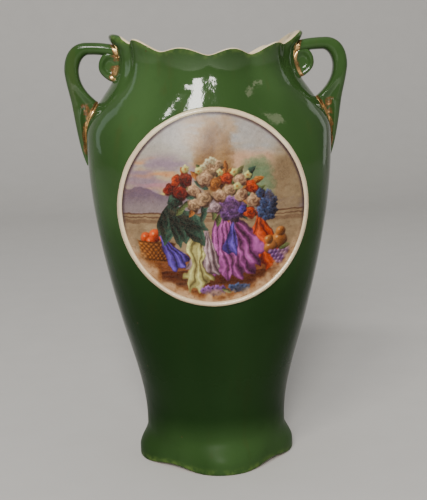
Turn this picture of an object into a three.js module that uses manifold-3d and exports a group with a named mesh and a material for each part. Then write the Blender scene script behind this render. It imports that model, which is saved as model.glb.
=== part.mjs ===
import * as THREE from "three";
import * as BufferGeometryUtils from "three/addons/utils/BufferGeometryUtils.js";
import Module from "manifold-3d";

// Two-handled vase of glazed earthenware, in millimetres
// The front faces -Y, the handles stand along X and the foot rests on Z = 0
// Angles about the axis are in degrees, from the front towards +X

// Heights of the outline above the table, the upper ones as drops below the rim's corners
const height = 260;
const waistHeight = 23;
const taperHeight = 90;
const fullestDepthDrop = 78;
const bellyDrop = 59;
const neckDrop = 13;

// Half-widths from the axis to one side, and half-depths from the axis to the front
const footHalfWidth = 42.9;
const waistHalfWidth = 43;
const taperHalfWidth = 57;
const bellyHalfWidth = 73.4;
const neckHalfWidth = 51;
const rimHalfWidth = 52;
const footHalfDepth = 43.5;
const waistHalfDepth = 43;
const taperHalfDepth = 50.5;
const bellyHalfDepth = 58.5;
const neckHalfDepth = 47.5;
const rimHalfDepth = 48.5;

// Slope of the outline, outwards for each millimetre of height
const taperWidthSlope = 0.265;
const taperDepthSlope = 0.14;
const rimSlope = 0.15;

// Squareness of the horizontal sections: 2 is an ellipse, more is fuller at the shoulders
const roundSection = 2;
const taperSection = 2.4;
const bellySection = 2.6;

// Walls
const bodyWall = 4.2;
const rimWall = 2.4;
const cornerWall = 5.4;
const floorHeight = 11;
const floorCorner = 10;
const lipRound = 1.3;
const cornerRoll = 0.5;

// Four-lobed foot: lobes reach out, arches between them lift off the table
const footLobes = 4;
const footLobeReach = 5.4;
const footLobeBottom = 6;
const footLobeTop = 20;
const footTurn = 4;
const footEdge = 1.4;
const archHeight = 2.5;
const archTop = 13;
const padHalfAngle = 12;
const footRingWidth = 5;
const recessHeight = 5.5;
const recessCorner = 2.5;

// Fluted rim: narrow lobes at the front and back, one wide corner lobe at each handle
const narrowLobe = 30;
const cornerLobe = 60;
const narrowLobeReach = 4.2;
const cornerLobeReach = 5.4;
const lobeSharpness = 1.7;
const fluteLength = 32;
const saddleLength = 70;
const saddleDrop = 11;
const crestRise = 3.5;
const crestGain = 0.15;
const saddlePower = 2.4;
const rimTurn = -1.5;
const rimSway = 5;
const cornerTurn = 7;
const rightSag = 2.2;

// Strap handles: outer and inner edge seen from the front
const handleReach = 85;
const handleTopDrop = 4.6;
const strapBarThickness = 7.3;
const strapUprightThickness = 8.8;
const strapHalfDepth = 5.6;
const tailHalfDepth = 2.2;
const strapFullness = 0.75;
const handleBend = 12.5;
const fanDrop = 42;
const tailDrop = 77.5;
const fanSetIn = 3.8;
const seamSetIn = 7.6;
const seamRise = 2.4;
const tailStand = 0.4;
const tailRoot = 2.6;
const barSag = 2.2;
const strapRootTop = 2.6;
const strapRootUnder = 0.8;
const grooveDepth = 2;

// The groove's places along the strap, counted in stretches: it opens, is full, and closes at the tail
const grooveOpens = 2.4;
const grooveFull = 3.1;
const grooveCloses = 3.6;

// Leaf scroll that hangs from the bar and lies against the neck
const scrollLength = 17.4;
const scrollHalfWidth = 6.8;
const scrollSetOut = 6.6;
const scrollBarLap = 1.4;
const scrollHalfDepth = 4.6;
const scrollBevel = 1;
const scrollRecess = 1.2;
const scrollRim = 1.9;
const scrollNeckLap = 2.2;
const scrollTopLap = 1.4;
const scrollTip = 0.8;
const cutOverrun = 1;

// Medallion on the front
const medallionDrop = 99.6;
const medallionSetLeft = 0.6;
const medallionHalfWidth = 55;
const medallionHalfHeight = 56.8;
const fieldStand = 0.9;
const beadWidth = 3.2;
const beadStand = 2.1;
const plaqueRoot = 2;

// Fineness of the facets
const segments = 72;
const footRows = 6;
const taperRows = 8;
const shoulderRows = 12;
const strapSides = 12;
const strapSteps = 5;
const medallionSegments = 48;
const innerNeckRows = 3;
const innerShoulderRows = 3;
const innerTaperRows = 6;
const curveSteps = 4;

// Heights that follow from the sizes above
const fullestDepthHeight = height - fullestDepthDrop;
const bellyHeight = height - bellyDrop;
const neckHeight = height - neckDrop;
const fluteStart = height - fluteLength;
const saddleStart = height - saddleLength;
const handleTop = height - handleTopDrop;
const fanHeight = height - fanDrop;
const tailHeight = height - tailDrop;
const medallionHeight = height - medallionDrop;
const scrollTop = handleTop - strapBarThickness + scrollBarLap;
const scrollBottom = scrollTop - scrollLength;

const radians = THREE.MathUtils.degToRad;
const smooth = THREE.MathUtils.smoothstep;
const lerp = THREE.MathUtils.lerp;

// Smooth curve through stations, each with its place, value and slope
function throughStations(stations, at) {
  let index = 0;
  while (index < stations.length - 2 && at > stations[index + 1].at) {
    index += 1;
  }
  const low = stations[index];
  const high = stations[index + 1];
  const span = high.at - low.at;
  const t = THREE.MathUtils.clamp((at - low.at) / span, 0, 1);
  const rise = t * t * (3 - 2 * t);
  const leave = t * (1 - t) * (1 - t) * span * low.slope;
  const arrive = t * t * (1 - t) * span * high.slope;
  return low.value * (1 - rise) + high.value * rise + leave - arrive;
}

function station(at, value, slope = 0) {
  return { at, value, slope };
}

const widthStations = [
  station(0, footHalfWidth),
  station(waistHeight, waistHalfWidth),
  station(taperHeight, taperHalfWidth, taperWidthSlope),
  station(bellyHeight, bellyHalfWidth),
  station(neckHeight, neckHalfWidth),
  station(height, rimHalfWidth, rimSlope),
];

const depthStations = [
  station(0, footHalfDepth),
  station(waistHeight, waistHalfDepth),
  station(taperHeight, taperHalfDepth, taperDepthSlope),
  station(fullestDepthHeight, bellyHalfDepth),
  station(neckHeight, neckHalfDepth),
  station(height, rimHalfDepth, rimSlope),
];

const sectionStations = [
  station(waistHeight, roundSection),
  station(taperHeight, taperSection),
  station(fullestDepthHeight, bellySection),
  station(neckHeight, roundSection),
];

// Bulge of the foot, 1 at the middle of a lobe and 0 between two lobes
function footBulge(angle) {
  return (1 + Math.cos(radians(footLobes * angle))) / 2;
}

// How far the foot's lower edge arches up off the table
function archLift(angle) {
  const pitch = 360 / footLobes;
  const fromLobe = Math.abs(angle - pitch * Math.round(angle / pitch));
  return archHeight * smooth(fromLobe, padHalfAngle, pitch / 2);
}

// Bulge of the rim and how far it reaches, the same for all four quarters
function rimLobe(angle) {
  const half = Math.abs(THREE.MathUtils.euclideanModulo(angle + 180, 360) - 180);
  const quarter = Math.min(half, 180 - half);
  const cornerStart = 90 - cornerLobe / 2;
  const inCorner = quarter > cornerStart;
  const phase = inCorner ? (quarter - cornerStart) / cornerLobe : quarter / narrowLobe;
  const swell = Math.abs(Math.sin(Math.PI * phase));
  const bulge = inCorner ? smooth(swell, 0, 1) : swell ** lobeSharpness;
  const reach = inCorner ? cornerLobeReach : narrowLobeReach;
  const thicker = inCorner ? (cornerWall - rimWall) * bulge : 0;
  return { bulge, reach, thicker };
}

// A swell over one front quarter only, 1 at its middle; side is 1 on the right and -1 on the left
function frontQuarter(angle, side) {
  const half = side * (THREE.MathUtils.euclideanModulo(angle + 180, 360) - 180);
  return half > 0 && half < 90 ? Math.sin(radians(2 * half)) ** 2 : 0;
}

// Levels run from 0 at the foot to the full height at the rim
// The foot is turned a little one way and the rim the other, as the hand left them
// The front left lobes are stretched, and the two corner lobes are turned about the axis
function levelTurn(angle, level) {
  const foot = footTurn * (1 - smooth(level, waistHeight, taperHeight));
  const corner = cornerTurn * Math.sin(radians(angle)) ** 8;
  const rim = rimTurn + corner - rimSway * frontQuarter(angle, -1);
  return foot + rim * smooth(level, bellyHeight, neckHeight);
}

// The rim dips at the front and back and rises to the corner lobes, and its right half sags a little
function rimFall(angle) {
  const side = Math.abs(Math.sin(radians(angle + levelTurn(angle, height)))) ** saddlePower;
  const crest = crestRise * (1 + crestGain * Math.sin(radians(2 * angle)) ** 2);
  const sag = rightSag * (frontQuarter(angle, 1) + frontQuarter(180 - angle, 1));
  return saddleDrop * (1 - side) + crestRise + sag - crest * rimLobe(angle).bulge;
}

function levelHeight(angle, level) {
  const above = Math.max(0, (level - saddleStart) / saddleLength);
  const arch = archLift(angle) * (1 - smooth(level, 0, archTop));
  return level + arch - rimFall(angle) * above * above;
}

// Distance from the axis to the plain section, before lobes, less an inset
function sectionRadius(turned, level, inset) {
  const halfWidth = throughStations(widthStations, level) - inset;
  const halfDepth = throughStations(depthStations, level) - inset;
  const power = throughStations(sectionStations, level);
  const across = Math.abs(Math.sin(radians(turned))) / halfWidth;
  const along = Math.abs(Math.cos(radians(turned))) / halfDepth;
  return 1 / (across ** power + along ** power) ** (1 / power);
}

// The flutes grow from nothing at their start to their full size at the rim
function fluteShare(level) {
  return Math.max(0, (level - fluteStart) / fluteLength) ** 2;
}

function lobeReach(angle, level) {
  const foot = footLobeReach * footBulge(angle) * (1 - smooth(level, footLobeBottom, footLobeTop));
  const lobe = rimLobe(angle);
  return foot + lobe.reach * lobe.bulge * fluteShare(level);
}

function onWall(angle, level, inset) {
  const turned = angle + levelTurn(angle, level);
  const radius = sectionRadius(turned, level, inset) + lobeReach(angle, level);
  const z = levelHeight(angle, level);
  return new THREE.Vector3(radius * Math.sin(radians(turned)), -radius * Math.cos(radians(turned)), z);
}

// A point at a share of the plain section's radius, for the floor and the underside
function onFloor(angle, level, inset, z, share = 1) {
  const turned = angle + levelTurn(angle, level);
  const radius = sectionRadius(turned, level, inset) * share;
  return new THREE.Vector3(radius * Math.sin(radians(turned)), -radius * Math.cos(radians(turned)), z);
}

// Rings of points from a first pole to a last pole become one closed surface
function closedSurface(firstPole, rings, lastPole) {
  const count = rings[0].length;
  const positions = [firstPole, ...rings.flat(), lastPole].flatMap((point) => point.toArray());
  const last = rings.length * count + 1;
  const indices = [];
  for (let side = 0; side < count; side += 1) {
    const next = (side + 1) % count;
    indices.push(0, 1 + next, 1 + side);
    const top = 1 + (rings.length - 1) * count;
    indices.push(last, top + side, top + next);
    for (let row = 0; row < rings.length - 1; row += 1) {
      const here = 1 + row * count;
      const above = here + count;
      indices.push(here + side, here + next, above + next);
      indices.push(here + side, above + next, above + side);
    }
  }
  const geometry = new THREE.BufferGeometry();
  geometry.setAttribute("position", new THREE.Float32BufferAttribute(positions, 3));
  geometry.setIndex(indices);
  return geometry;
}

function ring(pointAt) {
  return Array.from({ length: segments }, (_, index) => pointAt((360 * index) / segments));
}

// Levels from one height to another in equal steps, the first left out
function levelsUpTo(low, high, rows) {
  return Array.from({ length: rows }, (_, index) => lerp(low, high, (index + 1) / rows));
}

function wallAt(angle, level) {
  const plain = lerp(bodyWall, rimWall, smooth(level, bellyHeight, height));
  return plain + rimLobe(angle).thicker * fluteShare(level);
}

// Level where the lip starts to round over, lower on the thick corner lobes
function lipLevel(angle) {
  return height - lipRound - cornerRoll * rimLobe(angle).thicker;
}

// The hollow body: underside, outer wall, lip, inner wall and floor
function bodyGeometry() {
  const ringInner = footRingWidth;
  const underside = [
    ring((angle) => onFloor(angle, 0, ringInner, recessHeight, 0.5)),
    ring((angle) => onFloor(angle, 0, ringInner + recessCorner, recessHeight)),
    ring((angle) => onFloor(angle, 0, ringInner, recessHeight - recessCorner / 2)),
    ring((angle) => onFloor(angle, 0, ringInner, archLift(angle))),
    ring((angle) => onWall(angle, 0, footEdge)),
  ];
  const outerLevels = [
    ...levelsUpTo(footEdge, footLobeTop, footRows),
    ...levelsUpTo(footLobeTop, fullestDepthHeight, taperRows),
    ...levelsUpTo(fullestDepthHeight, height - lipRound, shoulderRows),
  ];
  const outer = [footEdge, ...outerLevels].map((level) =>
    ring((angle) => onWall(angle, Math.min(level, lipLevel(angle)), 0))
  );
  const lip = [
    ring((angle) => onWall(angle, height, wallAt(angle, height) / 2)),
    ring((angle) => onWall(angle, lipLevel(angle), wallAt(angle, height))),
  ];
  const innerLevels = [
    ...levelsUpTo(height - lipRound, fluteStart, innerNeckRows),
    ...levelsUpTo(fluteStart, saddleStart, innerShoulderRows),
    ...levelsUpTo(saddleStart, floorHeight + floorCorner, innerTaperRows),
  ];
  const inner = innerLevels.map((level) => ring((angle) => onWall(angle, level, wallAt(angle, level))));
  const cornerLevel = floorHeight + floorCorner;
  const cornerStep = 0.3 * floorCorner;
  const floor = [
    ring((angle) => onFloor(angle, cornerLevel, bodyWall + cornerStep, floorHeight + cornerStep)),
    ring((angle) => onFloor(angle, cornerLevel, bodyWall + floorCorner, floorHeight)),
    ring((angle) => onFloor(angle, cornerLevel, bodyWall + floorCorner, floorHeight, 0.5)),
  ];
  const underPole = new THREE.Vector3(0, 0, recessHeight);
  const floorPole = new THREE.Vector3(0, 0, floorHeight);
  return closedSurface(underPole, [...underside, ...outer, ...lip, ...inner, ...floor], floorPole);
}

// Where the outer wall's front stands at a place across and a height
function frontDepth(x, z) {
  let level = z;
  let depth = 0;
  let angle = 0;
  for (let pass = 0; pass < 6; pass += 1) {
    const halfWidth = throughStations(widthStations, level);
    const halfDepth = throughStations(depthStations, level);
    const power = throughStations(sectionStations, level);
    depth = halfDepth * Math.max(0, 1 - (Math.abs(x) / halfWidth) ** power) ** (1 / power);
    angle = THREE.MathUtils.radToDeg(Math.atan2(x, depth)) - levelTurn(angle, level);
    level += z - levelHeight(angle, level);
  }
  return depth;
}

// The medallion: a thin plaque that follows the body, with a rounded bead round a plain field
function medallionGeometry() {
  const beadShare = beadWidth / medallionHalfWidth;
  const beadRow = (across, stand) => ({ share: 1 - beadShare * (1 - across), stand });
  const bead = [0, 0.2, 0.5, 0.8, 0.96].map((across) => {
    const round = Math.sin(Math.PI * across) ** 0.7;
    return beadRow(across, lerp(fieldStand * (1 - across), beadStand, round));
  });
  const field = [0.18, 0.36, 0.54, 0.72, 0.86].map((share) => ({ share, stand: fieldStand }));
  const rows = [
    ...field,
    ...bead,
    { share: 1, stand: -plaqueRoot / 2 },
    { share: 0.985, stand: -plaqueRoot },
    { share: 0.7, stand: -plaqueRoot },
    { share: 0.35, stand: -plaqueRoot },
  ];
  const pointAt = (share, turn, stand) => {
    const x = medallionHalfWidth * share * Math.cos(turn) - medallionSetLeft;
    const z = medallionHeight + medallionHalfHeight * share * Math.sin(turn);
    return new THREE.Vector3(x, -frontDepth(x, z) - stand, z);
  };
  const rings = rows.map(({ share, stand }) =>
    Array.from({ length: medallionSegments }, (_, index) =>
      pointAt(share, (2 * Math.PI * index) / medallionSegments, stand)
    )
  );
  return closedSurface(pointAt(0, 0, -plaqueRoot), rings.reverse(), pointAt(0, 0, fieldStand));
}

// One stretch of a strap's edge: from a place to a place, drawn by two pulls in between
function stretch(...places) {
  return new THREE.CubicBezierCurve(...places.map(([x, z]) => new THREE.Vector2(x, z)));
}

// Edges of a strap handle seen from the front: bar, bend, upright and tail keep step with each other
function strapRails() {
  const root = neckHalfWidth + strapRootTop;
  const innerRoot = neckHalfWidth + strapRootUnder;
  const barUnder = handleTop - strapBarThickness;
  const bendX = handleReach - handleBend;
  const innerBendX = bendX - 0.2 * handleBend;
  const bendZ = handleTop - 1.35 * handleBend;
  const innerReach = handleReach - strapUprightThickness;
  const fanReach = handleReach - fanSetIn;
  const seam = bellyHalfWidth - seamSetIn;
  const seamTop = fanHeight + seamRise;
  const tailOut = bellyHalfWidth + tailStand;
  const tailIn = bellyHalfWidth - tailRoot;
  const outer = [
    stretch(
      [root, handleTop - barSag],
      [lerp(root, bendX, 0.33), handleTop - 0.1 * barSag],
      [lerp(root, bendX, 0.66), handleTop],
      [bendX, handleTop]
    ),
    stretch(
      [bendX, handleTop],
      [bendX + 0.7 * handleBend, handleTop - 0.06 * handleBend],
      [handleReach, bendZ + 0.7 * handleBend],
      [handleReach, bendZ]
    ),
    stretch(
      [handleReach, bendZ],
      [lerp(handleReach, fanReach, 0.2), lerp(bendZ, fanHeight, 0.38)],
      [lerp(handleReach, fanReach, 0.76), lerp(bendZ, fanHeight, 0.7)],
      [fanReach, fanHeight]
    ),
    stretch(
      [fanReach, fanHeight],
      [fanReach - 0.5 * fanSetIn, lerp(fanHeight, tailHeight, 0.37)],
      [tailOut + fanSetIn, lerp(fanHeight, tailHeight, 0.75)],
      [tailOut, tailHeight]
    ),
  ];
  const inner = [
    stretch(
      [innerRoot, barUnder - barSag],
      [lerp(innerRoot, innerBendX, 0.33), barUnder - 0.3 * barSag],
      [lerp(innerRoot, innerBendX, 0.66), barUnder],
      [innerBendX, barUnder]
    ),
    stretch(
      [innerBendX, barUnder],
      [innerBendX + 0.26 * handleBend, barUnder],
      [innerReach, bendZ + 0.4 * handleBend],
      [innerReach, bendZ]
    ),
    stretch(
      [innerReach, bendZ],
      [innerReach, lerp(bendZ, seamTop, 0.42)],
      [lerp(innerReach, seam, 0.44), lerp(bendZ, seamTop, 0.74)],
      [seam, seamTop]
    ),
    stretch(
      [seam, seamTop],
      [lerp(seam, tailIn, 0.75), lerp(seamTop, tailHeight, 0.33)],
      [tailIn, lerp(seamTop, tailHeight, 0.68)],
      [tailIn, tailHeight]
    ),
  ];
  return { outer, inner };
}

// One strap handle, swept between its two edges; side is 1 on the right and -1 on the left
function strapGeometry(side) {
  const { outer, inner } = strapRails();
  const pieces = outer.length;
  const rings = [];
  const centres = [];
  for (let step = 0; step <= pieces * strapSteps; step += 1) {
    const piece = Math.min(Math.floor(step / strapSteps), pieces - 1);
    const t = step / strapSteps - piece;
    const edge = outer[piece].getPoint(t);
    const back = inner[piece].getPoint(t);
    const along = step / strapSteps;
    const halfDepth = lerp(strapHalfDepth, tailHalfDepth, smooth(along, pieces - 1, pieces));
    const closing = 1 - smooth(along, grooveCloses, pieces);
    const groove = grooveDepth * smooth(along, grooveOpens, grooveFull) * closing;
    const centre = new THREE.Vector3(side * (edge.x + back.x) / 2, 0, (edge.y + back.y) / 2);
    const half = new THREE.Vector3(side * (edge.x - back.x) / 2, 0, (edge.y - back.y) / 2);
    const loop = Array.from({ length: strapSides }, (_, index) => {
      const turn = (2 * Math.PI * index) / strapSides;
      const across = Math.sign(Math.cos(turn)) * Math.abs(Math.cos(turn)) ** strapFullness;
      const front = Math.sign(Math.sin(turn)) * Math.abs(Math.sin(turn)) ** strapFullness;
      const hollow = groove * Math.sign(front) * Math.max(0, 1 - 2 * Math.abs(across));
      const point = centre.clone().addScaledVector(half, across);
      point.y += halfDepth * front - hollow;
      return point;
    });
    rings.push(side > 0 ? loop.reverse() : loop);
    centres.push(centre);
  }
  return closedSurface(centres[0], rings, centres[centres.length - 1]);
}

// Outline of the leaf scroll: full on the side of the hole, drawn to a point low on the neck
function scrollShape(side) {
  const middle = (scrollTop + scrollBottom) / 2;
  const halfHeight = scrollLength / 2;
  const centre = neckHalfWidth + scrollSetOut;
  const outside = centre + scrollHalfWidth;
  const tip = centre - scrollTip;
  const topRoot = neckHalfWidth + scrollTopLap;
  const shape = new THREE.Shape();
  shape.moveTo(side * tip, scrollBottom);
  shape.bezierCurveTo(side * (centre + scrollHalfWidth * 0.75), scrollBottom + 0.1 * halfHeight,
    side * outside, middle - 0.45 * halfHeight, side * outside, middle + 0.2 * halfHeight);
  shape.quadraticCurveTo(side * outside, scrollTop, side * centre, scrollTop);
  shape.lineTo(side * topRoot, scrollTop);
  shape.quadraticCurveTo(side * (neckHalfWidth - scrollNeckLap), middle, side * tip, scrollBottom);
  return shape;
}

// The dish in each face of the scroll, a drop that keeps clear of its edge
function scrollDish(side) {
  const middle = (scrollTop + scrollBottom) / 2;
  const halfHeight = scrollLength / 2 - scrollRim;
  const halfWidth = scrollHalfWidth - scrollRim;
  const centre = neckHalfWidth + scrollSetOut;
  const tip = centre - 0.3 * halfWidth;
  const shape = new THREE.Shape();
  shape.moveTo(side * tip, middle - halfHeight);
  shape.bezierCurveTo(side * (centre + halfWidth * 0.7), middle - 0.6 * halfHeight,
    side * (centre + halfWidth), middle, side * (centre + halfWidth), middle + 0.3 * halfHeight);
  shape.bezierCurveTo(side * (centre + halfWidth), middle + 0.9 * halfHeight,
    side * (centre - halfWidth), middle + 0.9 * halfHeight,
    side * (centre - halfWidth), middle + 0.2 * halfHeight);
  shape.quadraticCurveTo(side * (centre - halfWidth), middle - 0.4 * halfHeight,
    side * tip, middle - halfHeight);
  return shape;
}

// An upright slab of a front outline, from one depth to another
function slab(shape, low, high, bevel) {
  const geometry = new THREE.ExtrudeGeometry(shape, {
    depth: high - low - 2 * bevel,
    bevelEnabled: bevel > 0,
    bevelThickness: bevel,
    bevelSize: bevel,
    bevelOffset: -bevel,
    bevelSegments: 1,
    curveSegments: curveSteps,
    steps: 1,
  });
  geometry.rotateX(Math.PI / 2);
  geometry.translate(0, high - bevel, 0);
  return geometry;
}

const wasm = await Module();
wasm.setup();

// Joining and cutting
function toSolid(source) {
  const bare = source.clone();
  bare.deleteAttribute("normal");
  bare.deleteAttribute("uv");
  const merged = BufferGeometryUtils.mergeVertices(bare, 1e-5);
  const mesh = new wasm.Mesh({
    numProp: 3,
    vertProperties: new Float32Array(merged.attributes.position.array),
    triVerts: new Uint32Array(merged.index.array),
  });
  return new wasm.Manifold(mesh);
}

function toGeometry(solid) {
  const mesh = solid.getMesh();
  const geometry = new THREE.BufferGeometry();
  geometry.setAttribute("position", new THREE.BufferAttribute(mesh.vertProperties, 3));
  geometry.setIndex(new THREE.BufferAttribute(mesh.triVerts, 1));
  geometry.computeVertexNormals();
  return geometry;
}

function scrollSolid(side) {
  const leaf = toSolid(slab(scrollShape(side), -scrollHalfDepth, scrollHalfDepth, scrollBevel));
  const dish = scrollDish(side);
  const front = toSolid(slab(dish, -scrollHalfDepth - cutOverrun, -scrollHalfDepth + scrollRecess, 0));
  const back = toSolid(slab(dish, scrollHalfDepth - scrollRecess, scrollHalfDepth + cutOverrun, 0));
  return leaf.subtract(front).subtract(back);
}

let joined = toSolid(bodyGeometry()).add(toSolid(medallionGeometry()));
for (const side of [-1, 1]) {
  joined = joined.add(toSolid(strapGeometry(side))).add(scrollSolid(side));
}

const glaze = new THREE.MeshStandardMaterial({ color: 0x2f5a24, roughness: 0.18, metalness: 0 });
const vase = new THREE.Mesh(toGeometry(joined), glaze);
vase.name = "vase";

// The field of the medallion stands in front of the body, so the axis is set back by half of that
const part = new THREE.Group();
part.add(vase);
part.position.y = fieldStand / 2;

export default part;
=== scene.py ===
import math

import bpy
import numpy as np
from mathutils import Matrix, Vector


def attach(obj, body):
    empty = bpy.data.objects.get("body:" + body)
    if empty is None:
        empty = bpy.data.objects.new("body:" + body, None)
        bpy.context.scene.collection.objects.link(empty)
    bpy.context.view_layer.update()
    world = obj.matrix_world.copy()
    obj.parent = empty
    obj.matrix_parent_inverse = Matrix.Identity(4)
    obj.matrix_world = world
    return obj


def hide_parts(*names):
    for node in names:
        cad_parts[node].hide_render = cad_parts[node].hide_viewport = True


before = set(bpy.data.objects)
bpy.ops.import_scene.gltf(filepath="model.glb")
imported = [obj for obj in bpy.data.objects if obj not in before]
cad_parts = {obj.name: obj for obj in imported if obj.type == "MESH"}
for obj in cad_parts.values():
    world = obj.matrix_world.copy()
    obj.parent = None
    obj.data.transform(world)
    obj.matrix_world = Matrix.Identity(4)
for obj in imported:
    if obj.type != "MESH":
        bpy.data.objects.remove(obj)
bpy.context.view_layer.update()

# The two-handled vase in glazed earthenware: front towards -Y, handles along X, foot on Z = 0
# Sizes are in millimetres and turned into metres where a mesh is made
# Angles about the axis are in degrees, from the front towards +X
MM = 0.001

# Outline, as in the solid
HEIGHT = 260
WAIST_HEIGHT = 23
TAPER_HEIGHT = 90
DEPTH_HEIGHT = HEIGHT - 78
BELLY_HEIGHT = HEIGHT - 59
NECK_HEIGHT = HEIGHT - 13
BELLY_HALF_WIDTH = 73.4
NECK_HALF_WIDTH = 51
WIDTHS = [(0, 42.9, 0), (WAIST_HEIGHT, 43, 0), (TAPER_HEIGHT, 57, 0.265),
          (BELLY_HEIGHT, BELLY_HALF_WIDTH, 0), (NECK_HEIGHT, NECK_HALF_WIDTH, 0), (HEIGHT, 52, 0.15)]
DEPTHS = [(0, 43.5, 0), (WAIST_HEIGHT, 43, 0), (TAPER_HEIGHT, 50.5, 0.14),
          (DEPTH_HEIGHT, 58.5, 0), (NECK_HEIGHT, 47.5, 0), (HEIGHT, 48.5, 0.15)]
SECTIONS = [(WAIST_HEIGHT, 2, 0), (TAPER_HEIGHT, 2.4, 0), (DEPTH_HEIGHT, 2.6, 0), (NECK_HEIGHT, 2, 0)]

# Walls, lip and floor
BODY_WALL = 4.2
RIM_WALL = 2.4
CORNER_WALL = 5.4
FLOOR_HEIGHT = 11
FLOOR_CORNER = 10
LIP_ROUND = 1.3
CORNER_ROLL = 0.5
CORNER_PUSH = 1.7
ROLL_DEPTH = 9
ROLL_FULL = 3.5
LIP_CLEAR = 0.1

# Where the cream glaze starts on the lip, as turns in radians from the outside to the inside
CREAM_START = 0.12
CREAM_LATER_LEFT = 1.73
CREAM_LATER_RIGHT = 0.93
CREAM_FADE = 0.65

# Foot
FOOT_LOBES = 4
FOOT_REACH = 5.4
FOOT_LOBE_BOTTOM = 6
FOOT_LOBE_TOP = 20
FOOT_TURN = 4
FOOT_EDGE = 1.4
ARCH_HEIGHT = 2.5
ARCH_TOP = 13
PAD_HALF_ANGLE = 12
FOOT_RING = 5
RECESS_HEIGHT = 5.5
RECESS_CORNER = 2.5
RING_EDGE = 0.6
RING_EDGE_RISE = 0.8

# Rim
NARROW_LOBE = 30
CORNER_LOBE = 60
NARROW_REACH = 4.2
CORNER_REACH = 5.4
LOBE_SHARPNESS = 1.7
FLUTE_LENGTH = 32
FLUTE_START = HEIGHT - FLUTE_LENGTH
SADDLE_LENGTH = 70
SADDLE_START = HEIGHT - SADDLE_LENGTH
SADDLE_DROP = 11
CREST_RISE = 3.5
CREST_GAIN = 0.15
SADDLE_POWER = 2.4
RIM_TURN = -1.5
RIM_SWAY = 5
CORNER_TURN = 7
CORNER_TURN_POWER = 8
RIGHT_SAG = 2.2

# Handles and scrolls
HANDLE_REACH = 85
HANDLE_TOP = HEIGHT - 4.6
BAR_THICKNESS = 7.3
UPRIGHT_THICKNESS = 8.8
STRAP_HALF_DEPTH = 5.6
TAIL_HALF_DEPTH = 2.2
STRAP_FULLNESS = 0.75
HANDLE_BEND = 12.5
FAN_HEIGHT = HEIGHT - 42
TAIL_HEIGHT = HEIGHT - 77.5
FAN_SET_IN = 3.8
SEAM_SET_IN = 7.6
SEAM_RISE = 2.4
TAIL_STAND = 0.4
TAIL_ROOT = 2.6
BAR_SAG = 2.2
STRAP_ROOT_TOP = 2.6
STRAP_ROOT_UNDER = 0.8
GROOVE_DEPTH = 2.2
GROOVE_OPENS = 2.3
GROOVE_FULL = 3.1
GROOVE_CLOSES = 3.6
SEAM_OPENS = 2.98
SEAM_CLOSES = 3.62
SEAM_RADIUS = 0.6
SEAM_END_RADIUS = 0.25
SCROLL_LENGTH = 17.4
SCROLL_HALF_WIDTH = 6.8
SCROLL_SET_OUT = 6.6
SCROLL_TOP = HANDLE_TOP - BAR_THICKNESS + 1.4
SCROLL_HALF_DEPTH = 4.6
SCROLL_DISH = 1.5
SCROLL_RIM = 1.6

# Medallion, and how far the axis is set back behind the middle of the box
MEDALLION_HEIGHT = HEIGHT - 99.6
MEDALLION_SET_LEFT = 0.6
MEDALLION_HALF_WIDTH = 55
MEDALLION_HALF_HEIGHT = 56.8
FIELD_STAND = 0.9
FIELD_CLEAR = 0.02
BEAD_WIDTH = 3.2
BEAD_STAND = 2.1
BEAD_ROOT = 1.8
BEAD_TUCK = 0.3
FIELD_OVERLAP = 0.35
SET_BACK = FIELD_STAND / 2

# Fineness of the meshes
COLUMNS = 360
FOOT_ROWS = 26
BODY_ROWS = 55
SHOULDER_ROWS = 61
LIP_ROWS = 15
INNER_LIP_ROWS = 25
INNER_SHOULDER_ROWS = 13
INNER_ROWS = 23
STRAP_SIDES = 64
STRAP_STEPS = 44
PICTURE_CELLS = 300
BEAD_COLUMNS = 480
BEAD_ROWS = 20
SCROLL_POINTS = 72
SEAM_SIDES = 12
SEAM_SOFTENINGS = 10


def smooth(x, low, high):
    t = np.clip((x - low) / (high - low), 0, 1)
    return t * t * (3 - 2 * t)


def lerp(low, high, share):
    return low + (high - low) * share


def through(stations, at):
    """A smooth curve through stations, each with its place, value and slope."""
    at = np.asarray(at, float)
    result = np.full(at.shape, float(stations[0][1]))
    for low, high in zip(stations, stations[1:]):
        span = high[0] - low[0]
        t = np.clip((at - low[0]) / span, 0, 1)
        rise = t * t * (3 - 2 * t)
        slopes = t * (1 - t) ** 2 * span * low[2] - t * t * (1 - t) * span * high[2]
        result = np.where(at > low[0], low[1] * (1 - rise) + high[1] * rise + slopes, result)
    return result


def rim_lobe(angle):
    """Bulge of the rim, how far it reaches and how much thicker its wall is."""
    half = np.abs((angle + 180) % 360 - 180)
    quarter = np.minimum(half, 180 - half)
    corner_start = 90 - CORNER_LOBE / 2
    corner = quarter > corner_start
    phase = np.where(corner, (quarter - corner_start) / CORNER_LOBE, quarter / NARROW_LOBE)
    swell = np.abs(np.sin(np.pi * phase))
    bulge = np.where(corner, smooth(swell, 0, 1), swell ** LOBE_SHARPNESS)
    thicker = np.where(corner, (CORNER_WALL - RIM_WALL) * bulge, 0)
    return bulge, np.where(corner, CORNER_REACH, NARROW_REACH), thicker


def front_quarter(angle, side):
    half = side * ((angle + 180) % 360 - 180)
    return np.where((half > 0) & (half < 90), np.sin(np.radians(2 * half)) ** 2, 0)


def level_turn(angle, level):
    foot = FOOT_TURN * (1 - smooth(level, WAIST_HEIGHT, TAPER_HEIGHT))
    corner = CORNER_TURN * np.sin(np.radians(angle)) ** CORNER_TURN_POWER
    rim = RIM_TURN + corner - RIM_SWAY * front_quarter(angle, -1)
    return foot + rim * smooth(level, BELLY_HEIGHT, NECK_HEIGHT)


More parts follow.
